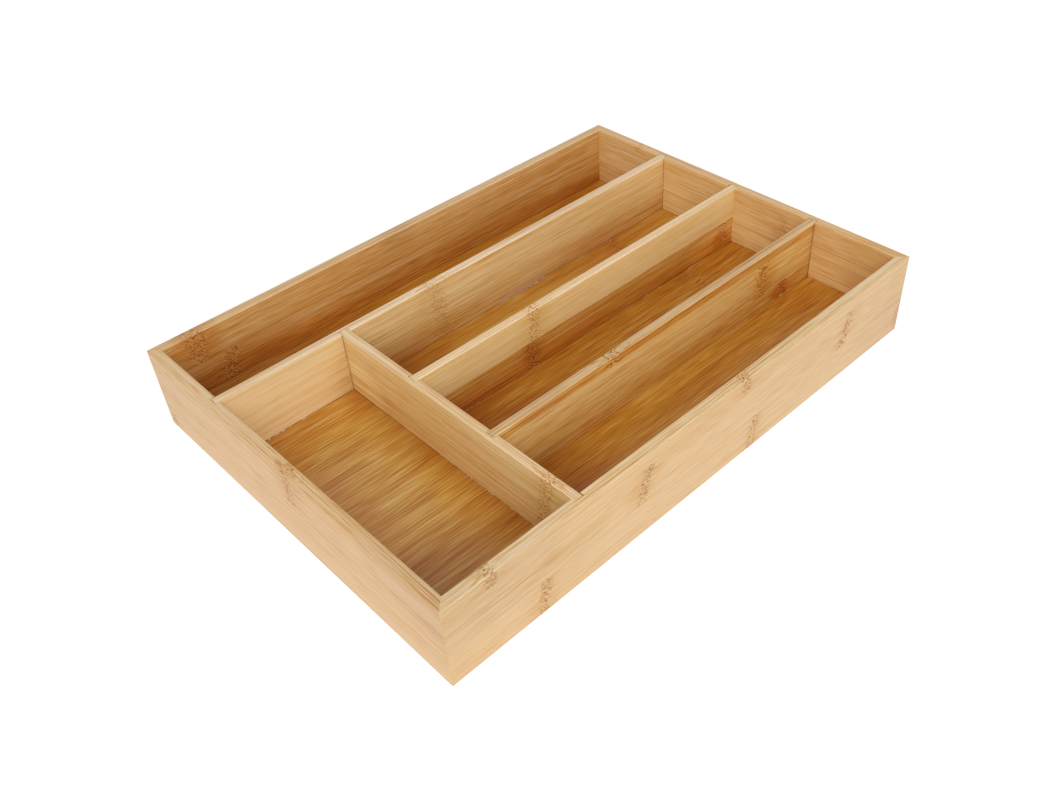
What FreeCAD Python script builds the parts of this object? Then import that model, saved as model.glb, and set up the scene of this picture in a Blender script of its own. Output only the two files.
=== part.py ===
import FreeCAD, Part
import math
import os

# Bamboo cutlery tray that lies in a kitchen drawer.
# Four mitred walls hold a base panel in a groove. One divider runs the whole
# length, one crosses the tray behind the front pocket, and the short ones run
# from there to the back wall.
# Millimetres. +Z is up, +Y runs back into the drawer, +X is to the right.
# The origin is the middle of the footprint, on the surface the tray stands on.

# Sizes of the whole tray
tray_length = 355.0
tray_width = 254.0
wall_height = 53.0

# Compartments: depth below the rim, and clear length of the pocket in front
pocket_depth = 40.0
front_pocket_length = 76.0

# Board thicknesses
wall_thickness = 6.5
divider_thickness = 5.5
base_thickness = 5.0

# Joints: how far a board goes into the one that holds it
groove_depth = 3.0
housing_depth = 3.0

# Clearances in the joints
groove_slack = 0.4
side_slack = 0.4
end_slack = 0.3

# Sanded edges
top_round = 0.8
bottom_round = 0.5
corner_round = 1.0

# The short dividers, from left to right
short_divider_names = ["middle_divider", "right_divider"]

# Worked out from the sizes above
column_count = len(short_divider_names) + 2
divider_count = column_count - 1
inner_width = tray_width - 2 * wall_thickness
inner_length = tray_length - 2 * wall_thickness
column_width = (inner_width - divider_count * divider_thickness) / column_count
floor_top = wall_height - pocket_depth
floor_bottom = floor_top - base_thickness
inner_left = -inner_width / 2
inner_right = inner_width / 2
inner_front = -inner_length / 2
inner_back = inner_length / 2
cross_front = inner_front + front_pocket_length
cross_back = cross_front + divider_thickness
tongue = housing_depth - end_slack


# Small helpers

def face_of(edges):
    """Plane face inside a closed run of edges."""
    return Part.Face(Part.Wire(edges))


def line(start, end):
    """Straight edge between two points."""
    return Part.LineSegment(start, end).toShape()


def quarter(start, middle, end):
    """Round edge through three points."""
    return Part.Arc(start, middle, end).toShape()


def board_section(thickness, low, high):
    """Upright board's section across Y, with its outer face at y = 0 and sanded edges."""
    def at(y, z):
        return FreeCAD.Vector(0, y, z)

    # How far the middle of a rounded edge lies from both of its faces
    top_inset = top_round * (1 - math.sqrt(0.5))
    bottom_inset = bottom_round * (1 - math.sqrt(0.5))
    right = thickness
    edges = [
        line(at(bottom_round, low), at(right - bottom_round, low)),
        quarter(at(right - bottom_round, low), at(right - bottom_inset, low + bottom_inset),
                at(right, low + bottom_round)),
        line(at(right, low + bottom_round), at(right, high - top_round)),
        quarter(at(right, high - top_round), at(right - top_inset, high - top_inset),
                at(right - top_round, high)),
        line(at(right - top_round, high), at(top_round, high)),
        quarter(at(top_round, high), at(top_inset, high - top_inset), at(0, high - top_round)),
        line(at(0, high - top_round), at(0, low + bottom_round)),
        quarter(at(0, low + bottom_round), at(bottom_inset, low + bottom_inset),
                at(bottom_round, low)),
    ]
    return face_of(edges)


def upright_box(x0, x1, y0, y1, z0, z1):
    """Box between two corners."""
    return Part.makeBox(x1 - x0, y1 - y0, z1 - z0, FreeCAD.Vector(x0, y0, z0))


# Walls

def mitred_plan(length):
    """Wall's outline from above: outer face on y = 0, mitred ends, rounded outer corners."""
    def at(x, y):
        return FreeCAD.Vector(x, y, 0)

    half = length / 2
    # Where the rounded corner meets the mitre, and its middle between there and the face
    on_mitre = corner_round * (1 - math.sqrt(0.5))
    mid_x = corner_round * (1 - math.sin(math.radians(22.5)))
    mid_y = corner_round * (1 - math.cos(math.radians(22.5)))
    edges = [
        quarter(at(on_mitre - half, on_mitre), at(mid_x - half, mid_y),
                at(corner_round - half, 0)),
        line(at(corner_round - half, 0), at(half - corner_round, 0)),
        quarter(at(half - corner_round, 0), at(half - mid_x, mid_y),
                at(half - on_mitre, on_mitre)),
        line(at(half - on_mitre, on_mitre), at(half - wall_thickness, wall_thickness)),
        line(at(half - wall_thickness, wall_thickness), at(wall_thickness - half, wall_thickness)),
        line(at(wall_thickness - half, wall_thickness), at(on_mitre - half, on_mitre)),
    ]
    return face_of(edges)


def mitred_wall(length, turn, outer_x, outer_y):
    """Wall turned about Z, with the middle of its outer face moved to (outer_x, outer_y)."""
    section = board_section(wall_thickness, 0, wall_height)
    section.translate(FreeCAD.Vector(-length / 2, 0, 0))
    board = section.extrude(FreeCAD.Vector(length, 0, 0))
    plan = mitred_plan(length).extrude(FreeCAD.Vector(0, 0, wall_height))
    wall = board.common(plan)
    wall.rotate(FreeCAD.Vector(0, 0, 0), FreeCAD.Vector(0, 0, 1), turn)
    wall.translate(FreeCAD.Vector(outer_x, outer_y, 0))
    return wall


# Dividers

def divider_plan(index):
    """Plan rectangle of the divider to the right of column number index, tongues included."""
    x0 = inner_left + index * column_width + (index - 1) * divider_thickness
    start = inner_front if index == 1 else cross_back
    return (x0, x0 + divider_thickness, start - tongue, inner_back + tongue)


def cross_plan():
    """Plan rectangle of the cross divider, from the long divider to the right wall."""
    left = divider_plan(1)[1]
    return (left - tongue, inner_right + tongue, cross_front, cross_back)


def along_y(plan):
    """Divider that runs front to back."""
    x0, x1, y0, y1 = plan
    section = board_section(x1 - x0, floor_top, wall_height)
    section.rotate(FreeCAD.Vector(0, 0, 0), FreeCAD.Vector(0, 0, 1), 90)
    section.translate(FreeCAD.Vector(x1, y0, 0))
    return section.extrude(FreeCAD.Vector(0, y1 - y0, 0))


def along_x(plan):
    """Divider that runs from side to side."""
    x0, x1, y0, y1 = plan
    section = board_section(y1 - y0, floor_top, wall_height)
    section.translate(FreeCAD.Vector(x0, y0, 0))
    return section.extrude(FreeCAD.Vector(x1 - x0, 0, 0))


def housing(plan, low_x=0.0, high_x=0.0, low_y=0.0, high_y=0.0):
    """Room for a divider's ends, open at the top, widened on the sides that have slack."""
    x0, x1, y0, y1 = plan
    return upright_box(x0 - low_x, x1 + high_x, y0 - low_y, y1 + high_y, floor_top, 2 * wall_height)


def housing_along_y(index):
    """Room for one of the dividers that run front to back."""
    # The middle one leans on the right side of its housing, the others on the left
    leans_right = index == 2
    left = side_slack if leans_right else 0.0
    right = 0.0 if leans_right else side_slack
    return housing(divider_plan(index), left, right, end_slack, end_slack)


def long_divider():
    """Full-length divider, with the housing for the cross divider's left end."""
    room = housing(cross_plan(), low_x=end_slack, low_y=side_slack)
    return along_y(divider_plan(1)).cut(room)


def cross_divider():
    """Divider behind the front pocket, with a housing for each short divider."""
    board = along_x(cross_plan())
    for index in range(2, divider_count + 1):
        board = board.cut(housing_along_y(index))
    return board


# Base

def panel_box(reach):
    """Box of the base panel's thickness that reaches so far into the walls."""
    return upright_box(inner_left - reach, inner_right + reach,
                       inner_front - reach, inner_back + reach, floor_bottom, floor_top)


def base_panel():
    """Panel that stops a little short of the groove's bottom."""
    return panel_box(groove_depth - groove_slack)


# Walls with their groove and housings

def front_wall():
    """Short wall in front, which houses the long divider."""
    wall = mitred_wall(tray_width, 0, 0, -tray_length / 2)
    return wall.cut(panel_box(groove_depth)).cut(housing_along_y(1))


def back_wall():
    """Short wall at the back, which houses every divider that runs front to back."""
    wall = mitred_wall(tray_width, 180, 0, tray_length / 2)
    wall = wall.cut(panel_box(groove_depth))
    for index in range(1, divider_count + 1):
        wall = wall.cut(housing_along_y(index))
    return wall


def left_wall():
    """Long wall on the left."""
    wall = mitred_wall(tray_length, 270, -tray_width / 2, 0)
    return wall.cut(panel_box(groove_depth))


def right_wall():
    """Long wall on the right, which houses the cross divider's right end."""
    wall = mitred_wall(tray_length, 90, tray_width / 2, 0)
    room = housing(cross_plan(), high_x=end_slack, high_y=side_slack)
    return wall.cut(panel_box(groove_depth)).cut(room)


# Every piece by name
pieces = {
    "front_wall": front_wall(),
    "back_wall": back_wall(),
    "left_wall": left_wall(),
    "right_wall": right_wall(),
    "base_panel": base_panel(),
    "long_divider": long_divider(),
    "cross_divider": cross_divider(),
}
for number, name in enumerate(short_divider_names, start=2):
    pieces[name] = along_y(divider_plan(number))

os.makedirs("parts", exist_ok=True)
for name, shape in pieces.items():
    shape.exportStep("parts/" + name + ".step")
    size = shape.BoundBox
    print(name, "solids", len(shape.Solids), "valid", shape.isValid(),
          "size", round(size.XLength, 2), round(size.YLength, 2), round(size.ZLength, 2))
print("tray", tray_width, "by", tray_length, "by", wall_height)
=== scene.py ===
# %% [markdown]
# A bamboo cutlery tray
#
# The object is a shallow tray for a kitchen drawer, glued up from bamboo boards.
# Four mitred walls hold a base panel, and four dividers make five compartments.
# The boards come from the frame as they are, because their sizes, joints and
# sanded edges are right there. This lesson gives them their bamboo, adds the
# dried glue along the joints, and lights and photographs the tray.

import math
import random

import bpy
from mathutils import Matrix, Vector


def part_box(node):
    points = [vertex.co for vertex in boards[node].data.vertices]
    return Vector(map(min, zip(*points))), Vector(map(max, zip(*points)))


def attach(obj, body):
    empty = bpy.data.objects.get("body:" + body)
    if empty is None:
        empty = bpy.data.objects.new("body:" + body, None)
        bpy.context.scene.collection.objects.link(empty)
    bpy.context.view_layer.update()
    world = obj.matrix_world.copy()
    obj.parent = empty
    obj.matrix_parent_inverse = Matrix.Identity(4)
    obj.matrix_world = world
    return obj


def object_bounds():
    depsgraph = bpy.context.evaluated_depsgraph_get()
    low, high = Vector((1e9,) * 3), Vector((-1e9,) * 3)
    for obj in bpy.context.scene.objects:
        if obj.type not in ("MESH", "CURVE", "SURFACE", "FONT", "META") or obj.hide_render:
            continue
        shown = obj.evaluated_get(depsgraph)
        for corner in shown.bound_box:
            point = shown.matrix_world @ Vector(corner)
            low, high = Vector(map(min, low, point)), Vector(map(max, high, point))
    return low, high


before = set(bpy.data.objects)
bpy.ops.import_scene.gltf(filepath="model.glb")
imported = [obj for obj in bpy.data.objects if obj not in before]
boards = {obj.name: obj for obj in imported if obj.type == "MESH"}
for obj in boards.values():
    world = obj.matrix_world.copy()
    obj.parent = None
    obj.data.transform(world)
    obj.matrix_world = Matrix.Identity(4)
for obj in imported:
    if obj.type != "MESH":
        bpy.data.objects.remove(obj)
cad_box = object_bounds()
print("boards:", sorted(boards))

# %% [markdown]
# Sizes
#
# Every place below is worked out from the boxes of the boards. The pattern of the
# bamboo is written in millimetres, as a joiner would measure it, so one value
# turns millimetres into Blender's metres.

# %% Sizes read from the frame
MM = 0.001
tray_low, tray_high = cad_box
base_low, base_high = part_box("base_panel")
rim_height = tray_high[2] / MM
floor_height = base_high[2] / MM
half_width = tray_high[0] / MM
half_length = tray_high[1] / MM
wall_low, wall_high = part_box("right_wall")
wall_thickness = (wall_high[0] - wall_low[0]) / MM
print("rim", round(rim_height, 2), "floor", round(floor_height, 2), "mm")

# %% [markdown]
# Shader maths that reads like maths
#
# A wood pattern is a formula: distances to a seam, bands, streaks. Wiring Math
# nodes by hand hides the formula, so a small class wraps a number socket and
# lets Python's own signs add the nodes. A sheet stands for one material's tree,
# and its one method makes every other kind of node.

# %% A socket that Python can calculate with
class Number:
    """A number in a node tree. Each sign used on it adds a Math node."""

    def __init__(self, sheet, socket):
        self.sheet = sheet
        self.socket = socket

    def math(self, operation, *others):
        values = [self, *others]
        node = self.sheet.add("ShaderNodeMath", {"operation": operation}, dict(enumerate(values)))
        return Number(self.sheet, node.outputs[0])

    def __add__(self, other):
        return self.math("ADD", other)

    def __radd__(self, other):
        return self.math("ADD", other)

    def __sub__(self, other):
        return self.math("SUBTRACT", other)

    def __rsub__(self, other):
        return self.math("MULTIPLY_ADD", -1.0, other)

    def __mul__(self, other):
        return self.math("MULTIPLY", other)

    def __rmul__(self, other):
        return self.math("MULTIPLY", other)

    def __truediv__(self, other):
        return self.math("DIVIDE", other)

    def __pow__(self, other):
        return self.math("POWER", other)

    def __abs__(self):
        return self.math("ABSOLUTE")

    def rounded(self):
        return self.math("ROUND")

    def between(self, low, high, start=0.0, end=1.0):
        """Goes smoothly from start to end while this number goes from low to high."""
        settings = {"interpolation_type": "SMOOTHSTEP", "clamp": True}
        sockets = {"Value": self, "From Min": low, "From Max": high, "To Min": start, "To Max": end}
        node = self.sheet.add("ShaderNodeMapRange", settings, sockets)
        return Number(self.sheet, node.outputs[0])


# %% A sheet that holds one material's nodes
class Sheet:
    """The node tree of one material, or of the world."""

    def __init__(self, name, library=bpy.data.materials):
        self.material = library.new(name)
        self.material.use_nodes = True
        self.tree = self.material.node_tree
        self.tree.nodes.clear()

    def add(self, kind, settings=None, sockets=None):
        """Adds a node: its settings first, then the value or link of each socket."""
        node = self.tree.nodes.new(kind)
        for name, value in (settings or {}).items():
            if name == "stops":
                self.set_stops(node.color_ramp, value)
            else:
                setattr(node, name, value)
        for name, value in (sockets or {}).items():
            target = node.inputs[name]
            if isinstance(value, Number):
                self.tree.links.new(value.socket, target)
            elif isinstance(value, bpy.types.NodeSocket):
                self.tree.links.new(value, target)
            else:
                target.default_value = value
        return node

    def set_stops(self, ramp, stops):
        """Writes a ramp's stops, each a place and a colour."""
        while len(ramp.elements) > 1:
            ramp.elements.remove(ramp.elements[-1])
        ramp.elements[0].position = stops[0][0]
        ramp.elements[0].color = stops[0][1]
        for place, colour in stops[1:]:
            ramp.elements.new(place).color = colour

    def vector(self, x, y, z):
        """Puts three numbers together as a vector."""
        return self.add("ShaderNodeCombineXYZ", None, {0: x, 1: y, 2: z}).outputs[0]

    def noise(self, place, detail=0.0, roughness=0.5, distortion=0.0):
        """Soft noise from 0 to 1 around 0.5, with features about one unit wide."""
        settings = {"noise_dimensions": "3D", "normalize": True}
        sockets = {"Vector": place, "Scale": 1.0, "Detail": detail, "Roughness": roughness,
                   "Distortion": distortion}
        return Number(self, self.add("ShaderNodeTexNoise", settings, sockets).outputs["Fac"])

    def mix(self, factor, first, second, blend="MIX"):
        """Mixes two colours."""
        settings = {"data_type": "RGBA", "blend_type": blend, "clamp_factor": True}
        node = self.add("ShaderNodeMix", settings, {0: factor, 6: first, 7: second})
        return node.outputs[2]


# %% [markdown]
# What bamboo looks like
#
# A board is glued up from laths about 20 mm wide, each split from a cane. Along a
# lath run fine fibres. Every 140 to 175 mm the cane had a node, and there the
# lath has rows of short dark dashes, an amber stain and fibres that bend. Each
# lath has its own tone, and its nodes lie in their own places. Light laths are
# plain, and dark ones show their fibres more.

# %% The colours of bamboo
def colour(red, green, blue):
    """A colour written as on screen, from 0 to 255, turned into Blender's linear values."""
    def linear(value):
        share = value / 255
        return share / 12.92 if share <= 0.04045 else ((share + 0.055) / 1.055) ** 2.4
    return (linear(red), linear(green), linear(blue), 1.0)


straw = colour(238, 208, 164)
honey = colour(226, 186, 126)
caramel = colour(198, 134, 52)
toffee = colour(156, 78, 14)
sanded_straw = colour(248, 212, 170)
# Painted shade: what is left of red, green and blue at the columns' near ends
painted_shade_tint = (0.66, 0.46, 0.34, 1.0)
fleck_straw = colour(238, 200, 130)
seam_brown = colour(120, 66, 28)
glue_film = colour(204, 162, 138)
# What is left of red, green and blue light in the stain of a node, and in its dashes
stain_tint = (0.93, 0.84, 0.66, 1.0)
dash_tint = (0.56, 0.34, 0.14, 1.0)

# %% [markdown]
# Which way a board runs
#
# The recipe works in a board's own directions, in millimetres: along its fibres,
# across its laths, and the third way. They come from Object coordinates, so the
# pattern is solid: the streaks of a face run over its sanded edge and into its top,
# as they do on real wood.

# %% Directions of a board
def board_place(sheet, along, stacked):
    """Distance along the fibres, across the laths and the third way, in millimetres."""
    place = sheet.add("ShaderNodeTexCoord").outputs["Object"]
    axes = sheet.add("ShaderNodeSeparateXYZ", None, {0: place})
    x, y, z = (Number(sheet, axes.outputs[i]) / MM for i in range(3))
    if not stacked:
        return y + half_length, x + half_width, z
    if along == "X":
        return x + half_width, rim_height - z, y
    return y + half_length, rim_height - z, x


# %% [markdown]
# The lath table
#
# Each board has a table of laths: where the lath starts below the rim, how dark it
# is, where one of its nodes lies and how far apart they are. A Color Ramp with
# constant steps can serve as that table. It looks up four numbers at once and
# costs one node, where a chain of comparisons would cost dozens. A second ramp,
# with narrow peaks, marks the glue seams between the laths.

# %% Look-up tables made of colour ramps
# Longest distance that the table can store as a number from 0 to 1
TABLE_LENGTH = 400.0


def lath_table(sheet, across, laths, span):
    """Tone, node place, node spacing and lean of the lath at this place across the board."""
    stops = []
    for start, tone, node_place, spacing, lean in laths:
        stops.append((start / span, (tone, node_place / TABLE_LENGTH, spacing / TABLE_LENGTH, lean + 0.5)))
    ramp = sheet.add("ShaderNodeValToRGB", {"stops": stops}, {"Fac": across / span})
    ramp.color_ramp.interpolation = "CONSTANT"
    parts = sheet.add("ShaderNodeSeparateColor", None, {"Color": ramp.outputs["Color"]})
    tone, node_place, spacing = (Number(sheet, parts.outputs[i]) for i in range(3))
    lean = Number(sheet, ramp.outputs["Alpha"]) - 0.5
    return tone, node_place * TABLE_LENGTH, spacing * TABLE_LENGTH, lean


def seam_lines(sheet, across, laths, span, half=0.2):
    """One on the glue seam between two laths. Rows with the same node belong to one lath."""
    black = (0.0, 0.0, 0.0, 1.0)
    white = (1.0, 1.0, 1.0, 1.0)
    stops = [(0.0, black)]
    borders = [row[0] for before, row in zip(laths, laths[1:]) if row[2] != before[2]]
    for border in borders:
        stops += [((border - half) / span, black), (border / span, white), ((border + half) / span, black)]
    ramp = sheet.add("ShaderNodeValToRGB", {"stops": stops}, {"Fac": across / span})
    return Number(sheet, ramp.outputs["Color"])


# %% [markdown]
# Nodes of the cane
#
# At a node, a band of dark dashes about 6 mm wide crosses the lath. Each dash is
# the cut end of a bundle of fibres, 2 mm long and under 1 mm wide. The band wavers,
# because the cane's node was a ring that the saw cut at a slant.

# %% Marks of a node
def node_marks(sheet, u, v, w, node_place, spacing, lean, shift, width):
    """Dashes, pale flecks, amber stain and nearness of the nearest node, each from 0 to 1."""
    waver = (sheet.noise(sheet.vector(v / 9.0, shift, w / 9.0), 1.0) - 0.5) * 5.0
    from_first = u - node_place + waver + v * lean
    near = abs(from_first - (from_first / spacing).rounded() * spacing) / width
    row = near.between(1.4, 3.4, 1.0, 0.0)
    halo = near.between(1.5, 10.0, 1.0, 0.0)
    size = width ** 0.15
    speck = sheet.noise(sheet.vector(u / (1.6 * size), v / (0.64 * size) + shift, w / (0.64 * size)), 0.0)
    dashes = speck.between(0.55, 0.63) * row
    flecks = speck.between(0.34, 0.43, 1.0, 0.0) * row
    streak = sheet.noise(sheet.vector(u / 9.0, v / 1.1 + shift, w / 1.1), 1.0, 0.6)
    stain = (streak.between(0.32, 0.60) * halo).math("MAXIMUM", row * 0.5)
    return dashes, flecks, stain, halo


# %% [markdown]
# Fibres
#
# Three sizes of noise make the grain: fine fibres about a millimetre wide, broader
# bands, and slow clouds. All are stretched along the fibres, up to a hundred times
# longer than wide. Short flecks lie between them, and here and there a dark thread.
# Near a node the fibres bend, which is done by moving the place across the lath
# before the noise is read.

# %% Fibre streaks
def fibre_streaks(sheet, u, v, w, shift, length):
    """Fine, short, broad and slow streaks, each from -0.5 to 0.5, and threads from 0 to 1."""
    fine = sheet.noise(sheet.vector(u / length + shift, v / 1.0, w / 1.0), 1.5, 0.9) - 0.5
    short = sheet.noise(sheet.vector(u / 14.0 + shift, v / 0.5, w / 0.5), 0.0) - 0.5
    broad = sheet.noise(sheet.vector(u / (length * 1.5) + shift, v / 4.0, w / 4.0), 1.0, 0.6) - 0.5
    slow = sheet.noise(sheet.vector(u / 90.0, v / 14.0 + shift, w / 14.0), 1.0, 0.5) - 0.5
    threads = sheet.noise(sheet.vector(u / 70.0, v / 0.8 + shift, w / 0.8), 0.0).between(0.62, 0.76)
    return fine, short, broad, slow, threads


# %% [markdown]
# Sanded edges
#
# The maker runs sandpaper along every edge. The rounded edge is cut across the
# fibres, looks paler than the faces, and catches the light. Its colour is also
# tinted a little darker, which is painted shade that tones down the lamps' highlight
# on the rounding. A place belongs to it where the surface faces between two axes,
# which the normal tells.

# %% Mask of the sanded edges
def sanded_edges(sheet):
    """One where the surface faces between two axes, nought on the flat faces."""
    normal = sheet.add("ShaderNodeNewGeometry").outputs["Normal"]
    facing = sheet.add("ShaderNodeSeparateXYZ", None, {0: normal})
    fx, fy, fz = (abs(Number(sheet, facing.outputs[i])) for i in range(3))
    square = fx.math("MAXIMUM", fy).math("MAXIMUM", fz)
    return square.between(0.90, 0.99, 1.0, 0.0)


# %% [markdown]
# Clouds of tone, and of painted light and shade
#
# A board's colour also wanders in soft clouds, paler or darker than the rest. They
# are partly the wood's own tone and partly painted light and shade: paler where light
# falls, darker in shaded corners and ends. Each row of the cloud table holds a centre
# along and across the board, two half lengths, and what is left of red, green and
# blue at the centre.

# %% Clouds of tone and of painted light and shade
def add_tone_and_light_clouds(sheet, wood, u, v, tone_and_light_clouds):
    """The colour of the wood after soft-edged, oval clouds of tone and of painted light and shade."""
    for centre_u, centre_v, half_u, half_v, tint in tone_and_light_clouds:
        along = (u - centre_u) / half_u
        across = (v - centre_v) / half_v
        near = (along * along + across * across).between(0.0, 1.0, 1.0, 0.0)
        wood = sheet.mix(near, wood, (*tint, 1.0), "MULTIPLY")
    return wood


# %% [markdown]
# One recipe for every board
#
# The tone goes from 0, the palest straw, to 1, dark toffee. A ramp turns it into a
# colour, so the streaks of a dark lath come out stronger and redder than those of
# a pale one, as in the real thing. On the rim every lath is sanded pale.

# %% The bamboo recipe
RIM_TONE = 0.22


def bamboo(name, along, laths, span, seed, tint=(1.0, 1.0, 1.0), stacked=True, node_width=1.0,
           node_depth=0.7, foot_start=14.0, painted_foot_tone=0.0, front_tone=None, painted_front_foot=None, figure=1.0,
           front_figure=1.0, streak_length=130.0, flecking=1.0, roughness=0.38, rim_tint=(0.9, 0.9, 0.9),
           painted_edge_shade=(0.96, 0.93, 0.90), seam_blur=0.3, film=None, painted_end_shade=0.0, outer_face_lighting_tint=None, tone_and_light_clouds=()):
    """Bamboo with its fibres along X or Y, and its laths stacked downwards or side by side."""
    sheet = Sheet(name)
    u, v, w = board_place(sheet, along, stacked)
    ragged = sheet.noise(sheet.vector(u / 60.0, v / 1.2, seed), 1.0) - 0.5
    tone, node_place, spacing, lean = lath_table(sheet, v + ragged * (4.0 * seam_blur), laths, span)
    seam = seam_lines(sheet, v, laths, span)
    shift = (lean + tone) * 500.0 + seed * 37.0
    dashes, flecks, stain, halo = node_marks(sheet, u, v, w, node_place, spacing, lean, shift, node_width)

    bend = (sheet.noise(sheet.vector(u / 9.0, v / 4.0 + shift, w / 4.0), 1.0) - 0.5) * halo * 4.0
    fine, short, broad, slow, threads = fibre_streaks(sheet, u, v + bend, w, shift, streak_length)
    in_front = u.between(60.0, 95.0, 1.0, 0.0)
    if front_tone is not None:
        tone = tone + in_front * (front_tone - tone)
    contrast = (tone + 0.45) * (in_front * (front_figure - 1.0) + 1.0) * figure
    board_tint = (*tint, 1.0)
    lift = 0.0
    if stacked:
        on_rim = v.between(0.1, 1.0, 1.0, 0.0)
        contrast = contrast * (on_rim * 0.8 + 1.0)
        inner = (half_length if along == "X" else half_width) - wall_thickness
        inside = abs(w).between(inner + 0.1, inner + 0.6, 1.0, 0.0)
        # Toward the foot: a darker foot, kept to the inner faces, is painted shade in the compartments; a paler foot,
        # as on the near walls, is painted bounce light from the floor
        foot = painted_foot_tone if painted_front_foot is None else in_front * (painted_front_foot - painted_foot_tone) + painted_foot_tone
        foot = v.between(foot_start, 40.0) * foot
        if painted_foot_tone > 0.0:
            foot = foot * inside
        lift = foot + on_rim * (RIM_TONE - tone)
        # The outer faces get a tint of their own, set apart from the inner faces for how each side is lit: painted
        # light and shade
        if outer_face_lighting_tint:
            board_tint = sheet.mix(inside, (*outer_face_lighting_tint, 1.0), board_tint)
        board_tint = sheet.mix(on_rim, board_tint, (*rim_tint, 1.0))
    streaks = (fine * 1.4 + broad * 0.38 + threads * 0.12) * contrast + short * (0.46 * flecking)
    depth = tone + streaks + slow * 0.24 + lift
    sanded = sanded_edges(sheet)
    wood = sheet.add("ShaderNodeValToRGB", {"stops": [
        (0.0, straw), (0.30, honey), (0.68, caramel), (1.0, toffee)]}, {"Fac": depth}).outputs["Color"]
    wood = sheet.mix(stain * node_depth, wood, stain_tint, "MULTIPLY")
    wood = sheet.mix(flecks * (0.42 * node_depth), wood, fleck_straw)
    wood = sheet.mix(dashes * node_depth, wood, dash_tint, "MULTIPLY")
    wood = sheet.mix(seam * 0.2, wood, seam_brown)
    if stacked:
        # A dark line where an inner face meets the floor: partly the glue joint, partly painted shade in the crease
        foot_line = v.between(39.0, 39.8) * v.between(40.0, 40.2, 1.0, 0.0) * inside
        wood = sheet.mix(foot_line * 0.45, wood, seam_brown)
    if film:
        start, end = film
        near_film = u.between(start, start + 12.0) * u.between(end - 12.0, end, 1.0, 0.0) * v.between(32.0, 38.0)
        blotch = sheet.noise(sheet.vector(u / 9.0, v / 1.6, seed), 2.0, 0.6)
        wood = sheet.mix((blotch + near_film * 0.3).between(0.60, 0.85) * near_film * 0.7, wood, glue_film)
    unclouded = wood
    # Painted shade: behind the cross divider the columns' near ends are darker and redder, toward a divider's foot
    # and on the base right of the long divider
    if painted_end_shade:
        unshaded, shaded = (20.0, 40.0) if stacked else (62.0, 68.0)
        at_end = (1.0 - in_front) * u.between(90.0, 165.0, painted_end_shade, 0.0) * v.between(unshaded, shaded)
        wood = sheet.mix(at_end, wood, painted_shade_tint, "MULTIPLY")
    # Clouds: partly the wood's own tone, partly painted light and shade
    wood = add_tone_and_light_clouds(sheet, wood, u, v, tone_and_light_clouds)
    # The painted shade and the clouds go on the base's top face only
    if not stacked:
        wood = sheet.mix(w.between(floor_height - 1.0, floor_height - 0.2), unclouded, wood)
    wood = sheet.mix(1.0, wood, board_tint, "MULTIPLY")
    # Sanded edges: a darkening tint, painted shade against the lamps' highlight on the rounding, then a tenth of pale
    # sanded straw
    wood = sheet.mix(sanded, wood, (*painted_edge_shade, 1.0), "MULTIPLY")
    wood = sheet.mix(sanded * 0.1, wood, sanded_straw)

    # Surface: satin, rougher in the streaks, with shallow fibre and node relief
    roughness = roughness + fine * 0.30 + dashes * 0.15 + sanded * 0.2
    height = fine * 0.12 + short * 0.03 + flecks * 0.04 - dashes * 0.08 - seam * 0.04
    bump = sheet.add("ShaderNodeBump", None, {"Strength": 0.7, "Distance": MM, "Height": height})
    shader = sheet.add("ShaderNodeBsdfPrincipled", None, {
        "Base Color": wood, "Roughness": roughness, "Normal": bump.outputs[0]})
    sheet.add("ShaderNodeOutputMaterial", None, {0: shader.outputs[0]})
    return sheet.material


# %% [markdown]
# The laths of each board
#
# Each row is one lath: its start below the rim (or from the left edge of the base),
# its tone, the place of one node measured from the tray's front or left end, the
# spacing to the next, and how far the node leans. They follow the boards of the
# photograph where it shows them. NONE puts a node beyond the board's end, on a lath
# that shows none.

# %% Lath tables
NONE = (-60.0, 399.0)
wall_laths = {
    "right_wall": [(0, 0.14, 28, 175, 0.0), (8, 0.14, 131, 168, 0.25), (31, 0.14, 64, 155, 0.15)],
    "front_wall": [(0, 0.20, 137, 300, 0.02), (1.5, 0.34, 137, 300, 0.02), (2.3, 0.20, 137, 300, 0.02),
                   (22, 0.18, *NONE, 0.1), (43, 0.14, *NONE, -0.1)],
    "left_wall": [(0, 0.55, 24, 390, -0.1), (20, 0.55, 45, 390, 0.12), (40, 0.55, 150, 165, 0.0)],
    "back_wall": [(0, 0.32, 45, 390, 0.1), (4, 0.30, 169, 390, 0.02), (24, 0.32, *NONE, -0.1),
                  (44, 0.30, 20, 170, 0.0)],
    "long_divider": [(0, 0.26, 147, 390, -0.1)],
    "cross_divider": [(0, 0.27, 232, 390, 0.15), (27, 0.37, 230, 390, 0.1)],
    "middle_divider": [(0, 0.22, 170, 390, 0.1), (21.3, 0.60, 167, 172, 0.0), (26, 0.66, 167, 172, 0.0)],
    "right_divider": [(0, 0.58, 170, 390, 0.0), (5.8, 0.37, 300, 390, 0.1), (29, 0.42, 318, 390, -0.1)],
}
grain = {"front_wall": "X", "back_wall": "X", "cross_divider": "X"}
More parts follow.
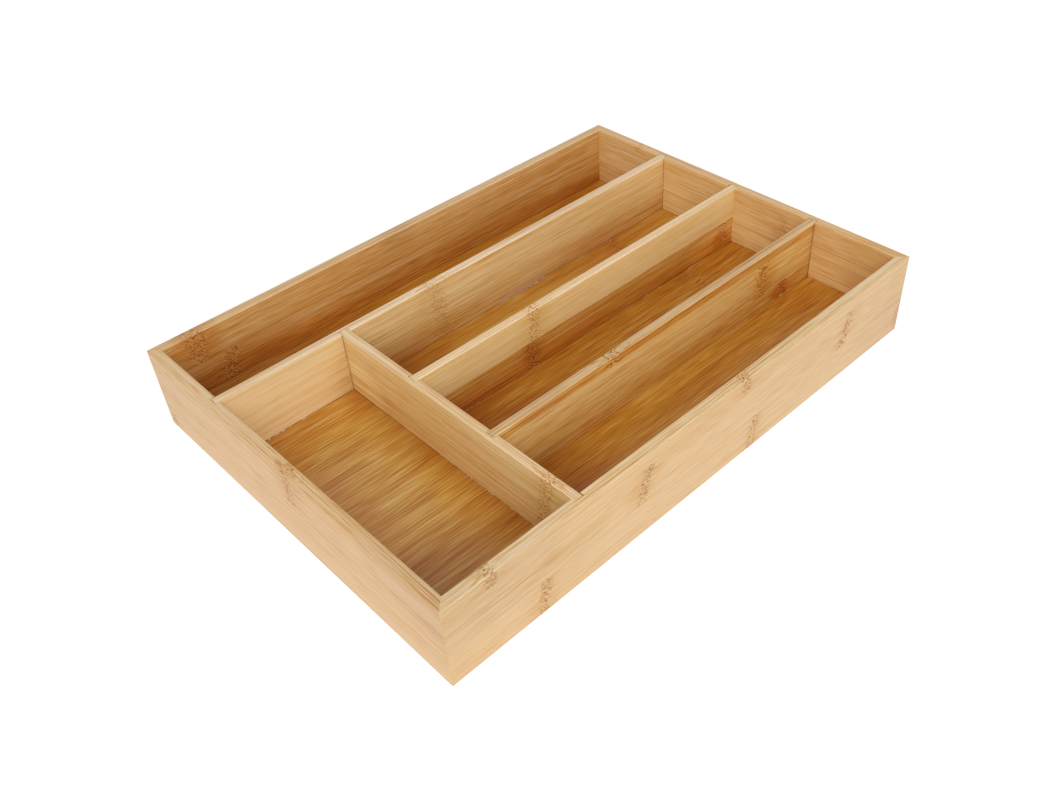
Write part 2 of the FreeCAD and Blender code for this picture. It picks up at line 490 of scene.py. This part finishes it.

# What sets a board apart: its tint, its nodes, how far its foot darkens (painted shade) or pales (painted bounce
# light), its figure
looks = {
    "right_wall": {"tint": (0.80, 0.76, 0.73), "outer_face_lighting_tint": (0.774, 0.719, 0.647), "node_depth": 0.9, "node_width": 1.45, "painted_foot_tone": -0.06,
                   "front_tone": 0.22, "painted_front_foot": -0.13, "figure": 1.1, "front_figure": 0.8, "flecking": 1.5,
                   "rim_tint": (0.93, 0.94, 0.95), "painted_edge_shade": (0.86, 0.91, 0.98),
                   "tone_and_light_clouds": [(10, 10, 80, 30, (0.94, 0.99, 1.12)), (355, 42, 9, 13, (0.88, 0.74, 0.62)), (350, 40, 60, 24, (0.94, 0.91, 0.90)),
                              (70, 30, 40, 14, (0.95, 0.94, 0.93))]},
    "front_wall": {"tint": (0.93, 0.86, 0.80), "outer_face_lighting_tint": (0.861, 0.754, 0.601), "node_depth": 0.8, "node_width": 1.6, "painted_foot_tone": -0.12,
                   "figure": 1.1, "flecking": 1.6, "rim_tint": (0.88, 0.85, 0.84),
                   "tone_and_light_clouds": [(250, 6, 70, 26, (0.90, 0.89, 0.91)), (137, 10, 18, 14, (0.96, 0.92, 0.86))]},
    "left_wall": {"tint": (0.96, 1.01, 1.14), "outer_face_lighting_tint": (1.04, 0.99, 1.02), "node_depth": 0.85, "node_width": 2.4, "figure": 0.55,
                  "foot_start": 20.0, "painted_foot_tone": 0.20, "painted_front_foot": 0.27, "rim_tint": (0.85, 0.82, 0.80),
                  "tone_and_light_clouds": [(168, 4, 18, 12, (0.88, 0.85, 0.80)), (330, 24, 60, 12, (1.05, 1.12, 1.18)),
                             (26, 9, 20, 16, (0.90, 0.75, 0.56)), (56, 26, 46, 13, (0.92, 0.79, 0.66)), (104, 38, 50, 14, (1.12, 1.14, 1.10)),
                             (180, 38, 190, 12, (1.01, 0.91, 0.84)), (100, 21, 46, 22, (1.10, 1.12, 1.11)),
                             (310, 40, 60, 11, (0.95, 0.76, 0.64))]},
    "back_wall": {"tint": (1.04, 1.03, 0.97), "outer_face_lighting_tint": (0.93, 0.86, 0.78), "node_depth": 0.5, "rim_tint": (0.93, 0.86, 0.80),
                  "tone_and_light_clouds": [(78, 32, 26, 20, (1.09, 1.18, 1.25)), (140, 32, 28, 22, (1.13, 1.26, 1.32)),
                             (200, 32, 26, 20, (1.11, 1.22, 1.26)), (236, 6, 30, 18, (0.93, 0.86, 0.75))]},
    "long_divider": {"tint": (0.97, 1.0, 0.94), "node_depth": 0.5, "node_width": 2.0, "painted_foot_tone": 0.24,
                     "front_tone": 0.05, "painted_front_foot": -0.02, "rim_tint": (1.02, 1.10, 1.37), "painted_edge_shade": (0.97, 0.98, 1.02),
                     "film": (186, 244), "painted_end_shade": 0.4, "front_figure": 1.4,
                     "tone_and_light_clouds": [(40, 2, 70, 9, (0.94, 0.92, 0.89)), (165, 18, 36, 12, (1.04, 1.10, 1.24)),
                                (205, 36, 60, 12, (1.04, 1.12, 1.30)), (280, 37, 42, 10, (0.95, 0.85, 0.76)), (118, 38, 26, 8, (0.95, 0.84, 0.72)),
                                (240, 4, 70, 9, (0.94, 0.92, 0.90))]},
    "cross_divider": {"tint": (1.01, 1.05, 0.97), "node_depth": 0.9, "node_width": 1.7, "figure": 1.2,
                      "rim_tint": (0.92, 0.91, 0.95),
                      "tone_and_light_clouds": [(72, 32, 32, 24, (1.14, 1.30, 1.50)), (160, 0, 130, 12, (1.05, 1.09, 1.14)),
                                 (72, 2, 30, 14, (1.04, 1.08, 1.15))]},
    "middle_divider": {"tint": (0.98, 1.01, 0.91), "node_depth": 0.9, "node_width": 1.8, "seam_blur": 0.6,
                       "foot_start": 28.0, "painted_foot_tone": 0.17, "figure": 0.52, "flecking": 0.8,
                       "rim_tint": (1.04, 1.09, 1.26), "painted_edge_shade": (0.97, 0.98, 1.02),
                       "painted_end_shade": 0.8,
                       "tone_and_light_clouds": [(345, 36, 54, 18, (1.44, 1.66, 2.15)), (275, 38, 60, 12, (1.12, 1.18, 1.30)),
                                  (112, 36, 34, 11, (1.08, 0.94, 0.84)), (180, 38, 70, 10, (1.02, 0.89, 0.83)),
                                  (166, 29, 11, 9, (0.80, 0.62, 0.46)), (336, 33, 10, 10, (0.84, 0.68, 0.52))]},
    "right_divider": {"tint": (0.98, 0.98, 0.79), "node_depth": 1.0, "node_width": 2.2, "painted_foot_tone": 0.14,
                      "figure": 0.78, "flecking": 1.3, "rim_tint": (0.81, 0.78, 0.74),
                      "painted_end_shade": 0.5,
                      "tone_and_light_clouds": [(140, 11, 80, 11, (1.02, 1.07, 1.22)), (285, 5, 60, 13, (0.93, 0.87, 0.81)), (120, 3, 26, 8, (0.90, 0.83, 0.80)), (128, 38, 50, 10, (0.97, 0.92, 0.88)),
                                 (302, 19, 15, 12, (0.93, 0.74, 0.50)), (318, 35, 12, 8, (0.92, 0.60, 0.36)),
                                 (314, 12, 36, 8, (1.11, 1.19, 1.26)), (336, 31, 18, 13, (1.10, 1.11, 1.10))]},
}

BASE_LATHS = 10
BASE_NODES = {2: (290, 390), 3: (292, 390), 5: (286, 390)}
# How much darker each lath of the base is than its palest ones, from left to right
base_darker = [0.14, 0.14, 0.01, 0.0, 0.02, 0.16, 0.13, 0.10, 0.10, 0.12]
random.seed(7)
base_lath_width = 2 * half_width / BASE_LATHS
base_laths = []
for number in range(BASE_LATHS):
    tone = random.uniform(0.56, 0.62) + base_darker[number]
    lean = random.uniform(-0.1, 0.1)
    base_laths.append((number * base_lath_width, tone, *BASE_NODES.get(number, NONE), lean))

for number, (name, laths) in enumerate(wall_laths.items()):
    material = bamboo(name + "_bamboo", grain.get(name, "Y"), laths, rim_height, number + 1.0, **looks[name])
    boards[name].material_slots[0].material = material
# Besides its tone, the base's clouds hold a painted sheen in the middle of the front pocket and painted shade in the
# left compartment and at the columns' near ends
boards["base_panel"].material_slots[0].material = bamboo(
    "base_panel_bamboo", "Y", base_laths, 2 * half_width, 11.0, (1.0, 0.99, 0.56), stacked=False,
    node_width=1.4, node_depth=0.55, front_tone=0.63, figure=0.62, front_figure=1.35, streak_length=45.0,
    roughness=0.32, seam_blur=1.0, painted_end_shade=1.0, tone_and_light_clouds=[
        (0, 127, 100, 400, (0.92, 0.96, 1.10)), (60, 128, 34, 80, (1.05, 1.16, 1.30)),
        (30, 222, 70, 46, (0.80, 0.73, 0.68)), (38, 74, 34, 22, (0.92, 0.80, 0.74)),
        (300, 72, 40, 18, (0.92, 0.80, 0.70)), (190, 200, 70, 14, (1.03, 1.09, 1.16)),
        (120, 140, 70, 22, (0.99, 0.95, 0.92)), (24, 18, 136, 44, (0.74, 0.58, 0.58)),
        (122, 76, 45, 34, (0.91, 0.78, 0.62)), (125, 218, 45, 20, (0.93, 0.84, 0.62)), (268, 76, 50, 14, (0.94, 0.83, 0.82)),
        (44, 140, 40, 56, (0.98, 0.99, 1.16)), (330, 212, 30, 24, (0.97, 0.90, 0.88)),
        (77, 164, 18, 28, (1.09, 1.18, 1.28)), (26, 160, 16, 80, (0.97, 0.90, 0.93))])
print("materials:", len(bpy.data.materials))

# %% [markdown]
# Dried glue
#
# At the foot of each divider a little glue was pressed out and dried as a broken
# row of milky beads, which is how one tells a hand-glued tray. Many small things
# along a path are work for Geometry Nodes: points along each run, some of them left
# out, and on each a flattened drop of random length. The tree is written out here,
# with its sizes as named inputs, and the result is turned into a plain mesh.

# %% Where the glue shows
def foot_of(name, start, end):
    """Run along the right foot of a divider, between two distances from the tray's front."""
    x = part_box(name)[1][0] / MM
    return ((x, start - half_length, floor_height), (x, end - half_length, floor_height))


def path_mesh(name, runs):
    """Mesh with one edge for each run."""
    mesh = bpy.data.meshes.new(name)
    points = [tuple(value * MM for value in point) for run in runs for point in run]
    mesh.from_pydata(points, [(2 * i, 2 * i + 1) for i in range(len(runs))], [])
    return mesh


cross_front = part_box("cross_divider")[0][1] / MM
bead_path = path_mesh("bead_path", [
    foot_of("long_divider", 158, 182), foot_of("long_divider", 192, 240), foot_of("long_divider", 262, 296),
    foot_of("middle_divider", 112, 126), foot_of("middle_divider", 262, 276),
    foot_of("middle_divider", 304, 318), foot_of("right_divider", 266, 286),
    foot_of("right_divider", 310, 322),
    ((20.0, cross_front, floor_height), (118.0, cross_front, floor_height)),
])
smear_path = path_mesh("smear_path", [
    foot_of("long_divider", 23, 48), foot_of("long_divider", 200, 232)])
print("runs of beads:", len(bead_path.edges), "and of smears:", len(smear_path.edges))


# %% Finish of the dried glue
def glue_finish():
    """Milky glue, a little darker where dust stuck to it."""
    sheet = Sheet("dried_glue")
    place = sheet.add("ShaderNodeTexCoord").outputs["Object"]
    spots = sheet.add("ShaderNodeVectorMath", {"operation": "SCALE"}, {0: place, "Scale": 1 / (1.5 * MM)})
    dust = sheet.noise(spots.outputs[0], 2.0)
    body = sheet.mix(dust.between(0.35, 0.7), colour(214, 180, 156), colour(160, 114, 84))
    bump = sheet.add("ShaderNodeBump", None, {"Strength": 0.4, "Distance": 0.2 * MM, "Height": dust})
    shader = sheet.add("ShaderNodeBsdfPrincipled", None, {
        "Base Color": body, "Roughness": dust * 0.3 + 0.25, "Normal": bump.outputs[0]})
    sheet.add("ShaderNodeOutputMaterial", None, {0: shader.outputs[0]})
    return sheet.material


# %% The tree that strings beads along a path
class Tree:
    """A Geometry Nodes tree with named inputs."""

    def __init__(self, name):
        self.group = bpy.data.node_groups.new(name, "GeometryNodeTree")
        self.group.interface.new_socket("Geometry", in_out="INPUT", socket_type="NodeSocketGeometry")
        self.group.interface.new_socket("Geometry", in_out="OUTPUT", socket_type="NodeSocketGeometry")
        self.source = self.group.nodes.new("NodeGroupInput")
        self.result = self.group.nodes.new("NodeGroupOutput")
        self.identifiers = {}

    def input(self, name, kind, value):
        """Adds a named input with its value, and gives its socket inside the tree."""
        socket = self.group.interface.new_socket(name, in_out="INPUT", socket_type="NodeSocket" + kind)
        self.identifiers[name] = (socket.identifier, value)
        return self.source.outputs[name]

    def add(self, kind, settings=None, sockets=None):
        """Adds a node: its settings first, then the value or link of each socket."""
        node = self.group.nodes.new(kind)
        for name, value in (settings or {}).items():
            setattr(node, name, value)
        for name, value in (sockets or {}).items():
            if isinstance(value, bpy.types.NodeSocket):
                self.group.links.new(value, node.inputs[name])
            else:
                node.inputs[name].default_value = value
        return node


def bead_tree(material):
    """Flattened drops of random size along every edge of a mesh, with gaps."""
    tree = Tree("glue_beads")
    spacing = tree.input("Spacing", "Float", 0.9 * MM)
    coverage = tree.input("Coverage", "Float", 0.5)
    smallest = tree.input("Smallest Bead", "Vector", (0.10 * MM, 0.12 * MM, 0.35 * MM))
    largest = tree.input("Largest Bead", "Vector", (0.24 * MM, 0.30 * MM, 1.70 * MM))
    seed = tree.input("Seed", "Int", 4)

    curve = tree.add("GeometryNodeMeshToCurve", None, {0: tree.source.outputs[0]})
    points = tree.add("GeometryNodeCurveToPoints", {"mode": "LENGTH"}, {"Curve": curve.outputs[0], "Length": spacing})
    kept = tree.add("FunctionNodeRandomValue", {"data_type": "BOOLEAN"}, {"Probability": coverage, "Seed": seed})
    bare = tree.add("FunctionNodeBooleanMath", {"operation": "NOT"}, {0: kept.outputs[3]})
    beads = tree.add("GeometryNodeDeleteGeometry", {"domain": "POINT"}, {
        "Geometry": points.outputs["Points"], "Selection": bare.outputs[0]})
    size = tree.add("FunctionNodeRandomValue", {"data_type": "FLOAT_VECTOR"}, {0: smallest, 1: largest, "Seed": seed})
    drop = tree.add("GeometryNodeMeshIcoSphere", None, {"Radius": 1.0, "Subdivisions": 2})
    placed = tree.add("GeometryNodeInstanceOnPoints", None, {
        "Points": beads.outputs[0], "Instance": drop.outputs["Mesh"], "Rotation": points.outputs["Rotation"],
        "Scale": size.outputs[0]})
    real = tree.add("GeometryNodeRealizeInstances", None, {0: placed.outputs[0]})
    smooth = tree.add("GeometryNodeSetShadeSmooth", None, {0: real.outputs[0]})
    finished = tree.add("GeometryNodeSetMaterial", None, {"Geometry": smooth.outputs[0], "Material": material})
    tree.group.links.new(finished.outputs[0], tree.result.inputs[0])
    return tree


# %% Beads and smears of dried glue
def plain_mesh(name, base_mesh, tree, changes):
    """Runs a tree on a mesh, with some inputs changed, and gives a plain object at the origin."""
    maker = bpy.data.objects.new(name + "_maker", base_mesh)
    bpy.context.scene.collection.objects.link(maker)
    modifier = maker.modifiers.new("beads", "NODES")
    modifier.node_group = tree.group
    for input_name, (identifier, value) in tree.identifiers.items():
        modifier[identifier] = changes.get(input_name, value)
    evaluated = maker.evaluated_get(bpy.context.evaluated_depsgraph_get())
    piece = bpy.data.objects.new(name, bpy.data.meshes.new_from_object(evaluated))
    maker.modifiers.remove(modifier)
    bpy.data.objects.remove(maker)
    bpy.context.scene.collection.objects.link(piece)
    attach(piece, "root")
    print(name, len(piece.data.polygons), "faces")
    return piece


glue_beads = bead_tree(glue_finish())
plain_mesh("glue_beads", bead_path, glue_beads, {})
plain_mesh("glue_smears", smear_path, glue_beads, {
    "Spacing": 1.3 * MM, "Coverage": 0.4, "Seed": 9,
    "Smallest Bead": (0.25 * MM, 0.4 * MM, 0.6 * MM), "Largest Bead": (0.7 * MM, 0.9 * MM, 2.4 * MM)})

# %% [markdown]
# The stage
#
# The photograph has a plain white ground. The floor is a pale surface that returns
# light to the tray. For the camera it is lifted to white, and keeps only a faint
# shadow of the tray.

# %% Floor and backdrop
def flat_square(name, size, height):
    """A square floor around the origin."""
    half = size / 2
    corners = [(-half, -half, height), (half, -half, height), (half, half, height), (-half, half, height)]
    mesh = bpy.data.meshes.new(name)
    mesh.from_pydata(corners, [], [(0, 1, 2, 3)])
    piece = bpy.data.objects.new(name, mesh)
    bpy.context.scene.collection.objects.link(piece)
    return piece


def seen_rays(sheet):
    """One for rays from the camera, off a gloss and through glass, nought for light on its way."""
    path = sheet.add("ShaderNodeLightPath")
    camera, glossy, through = (Number(sheet, path.outputs["Is %s Ray" % kind])
                               for kind in ("Camera", "Glossy", "Transmission"))
    return camera.math("MAXIMUM", glossy).math("MAXIMUM", through)


def floor_finish():
    """White card, lifted by a little light of its own where it is seen."""
    sheet = Sheet("floor_card")
    card = sheet.add("ShaderNodeBsdfDiffuse", None, {"Color": (0.88, 0.88, 0.87, 1.0)})
    seen = sheet.add("ShaderNodeBsdfDiffuse", None, {"Color": (0.34, 0.34, 0.34, 1.0)})
    lift = sheet.add("ShaderNodeEmission", None, {"Color": (1.0, 1.0, 1.0, 1.0), "Strength": 0.78})
    both = sheet.add("ShaderNodeAddShader", None, {0: seen.outputs[0], 1: lift.outputs[0]})
    mixed = sheet.add("ShaderNodeMixShader", None, {
        0: seen_rays(sheet), 1: card.outputs[0], 2: both.outputs[0]})
    sheet.add("ShaderNodeOutputMaterial", None, {0: mixed.outputs[0]})
    return sheet.material


floor = flat_square("floor", 6.0, -0.0002)
floor.data.materials.append(floor_finish())

# %% World: plain light from all round, white where the camera or a reflection sees it
def studio_world():
    """Even light, and plain white where it is seen."""
    sheet = Sheet("studio", bpy.data.worlds)
    white = (1.0, 1.0, 1.0, 1.0)
    room_light = sheet.add("ShaderNodeBackground", None, {"Color": white, "Strength": 0.465})
    white_behind = sheet.add("ShaderNodeBackground", None, {"Color": white, "Strength": 1.0})
    mixed = sheet.add("ShaderNodeMixShader", None, {
        0: seen_rays(sheet), 1: room_light.outputs[0], 2: white_behind.outputs[0]})
    sheet.add("ShaderNodeOutputWorld", None, {0: mixed.outputs[0]})
    return sheet.material


bpy.context.scene.world = studio_world()

# %% [markdown]
# Light and camera
#
# Three large soft lamps stand on the near side: the key beside the camera, one to
# the right and a weaker one in front. So the near walls and the rim are about
# equally bright, and the columns fall off towards their floors.

# %% Lamps
LAMP_DISTANCE = 1.7
LAMP_SIZE = 1.2


def soft_lamp(name, azimuth, elevation, power):
    """A square area lamp aimed at the tray. Azimuth 0 is in front, and 90 is on the right."""
    across = math.radians(azimuth)
    up = math.radians(elevation)
    way = Vector((math.sin(across) * math.cos(up), -math.cos(across) * math.cos(up), math.sin(up)))
    data = bpy.data.lights.new(name, "AREA")
    data.shape = "SQUARE"
    data.size = LAMP_SIZE
    data.energy = power
    lamp = bpy.data.objects.new(name, data)
    bpy.context.scene.collection.objects.link(lamp)
    lamp.matrix_world = Matrix.Translation(way * LAMP_DISTANCE) @ way.to_track_quat("Z", "Y").to_matrix().to_4x4()
    return lamp


soft_lamp("key_lamp", 48, 45, 11.1)
soft_lamp("right_lamp", 90, 22, 10.2)
soft_lamp("front_lamp", 0, 22, 4.3)

# %% Camera
# Azimuth turns the view from +Y towards -X, and elevation looks down.
azimuth = math.radians(47.76)
elevation = math.radians(40.58)
roll = math.radians(-3.11)
camera_place = Vector((363.3, -316.8, 402.0)) * MM
FILM_WIDTH = 36.0
PHOTO_WIDTH = 1054

forward = Vector((-math.sin(azimuth) * math.cos(elevation), math.cos(azimuth) * math.cos(elevation),
                  -math.sin(elevation)))
level_right = forward.cross(Vector((0, 0, 1))).normalized()
level_up = level_right.cross(forward)
right = level_right * math.cos(roll) + level_up * math.sin(roll)
up = level_up * math.cos(roll) - level_right * math.sin(roll)
turn = Matrix((right, up, -forward)).transposed().to_4x4()

camera_data = bpy.data.cameras.new("camera")
camera_data.sensor_fit = "HORIZONTAL"
camera_data.sensor_width = FILM_WIDTH
camera_data.lens = 1048.2 / PHOTO_WIDTH * FILM_WIDTH
camera_data.shift_x = -0.0334
camera_data.shift_y = -0.0067
camera_data.clip_start = 0.01
camera = bpy.data.objects.new("camera", camera_data)
bpy.context.scene.collection.objects.link(camera)
camera.matrix_world = Matrix.Translation(camera_place) @ turn
bpy.context.scene.camera = camera
bpy.context.scene.view_settings.view_transform = "Standard"
